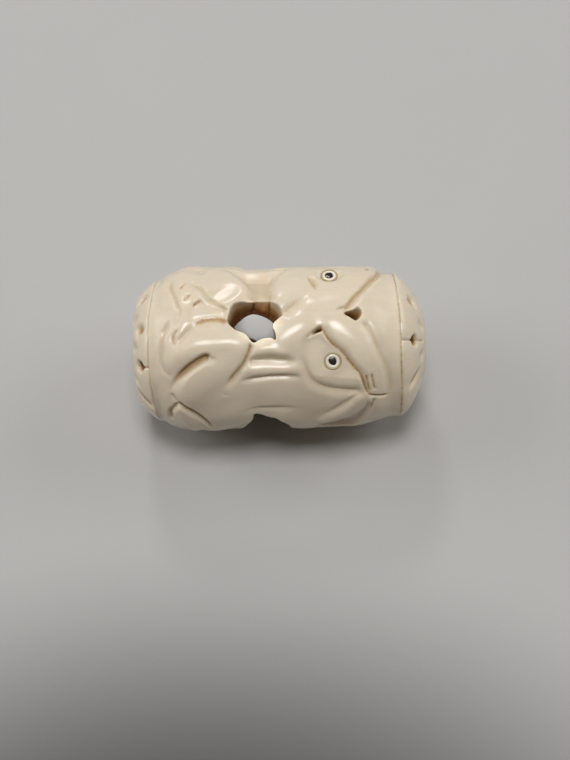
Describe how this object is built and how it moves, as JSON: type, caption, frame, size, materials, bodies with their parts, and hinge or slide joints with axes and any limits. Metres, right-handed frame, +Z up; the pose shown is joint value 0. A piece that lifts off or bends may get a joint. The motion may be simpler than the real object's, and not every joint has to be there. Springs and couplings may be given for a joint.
{
  "type": "carved barrel toggle button",
  "caption": "Hollow barrel toggle with pierced side windows, crouching frogs carved in relief with inlaid eyes, and petalled domed caps glued into both ends.",
  "frame": {"origin": "on the barrel's axis at mid length, in the middle of the cord bore", "axes": "+X along the barrel from the tail cap to the head cap, +Z up with the toggle lying on one frog, a window upwards"},
  "size_m": [0.038, 0.0219, 0.0216],
  "materials": {
    "carved_bone": "hand-polished ivory-coloured bone, warm brown in the cuts",
    "cap_bone": "hand-polished ivory-coloured bone",
    "eye_white": "smooth pale inlay, dark at its glued edge",
    "eye_black": "smooth black inlay"
  },
  "bodies": {
    "root": {"carved_barrel": "carved_bone", "head_end_cap": "cap_bone", "tail_end_cap": "cap_bone", "front_frog_upper_eye_disc": "eye_white", "back_frog_upper_eye_disc": "eye_white", "back_frog_lower_eye_disc": "eye_white", "under_frog_upper_eye_disc": "eye_white", "under_frog_lower_eye_disc": "eye_white", "front_frog_upper_eye_pupil": "eye_black", "back_frog_upper_eye_pupil": "eye_black", "back_frog_lower_eye_pupil": "eye_black", "under_frog_upper_eye_pupil": "eye_black", "under_frog_lower_eye_pupil": "eye_black"}
  },
  "joints": []
}
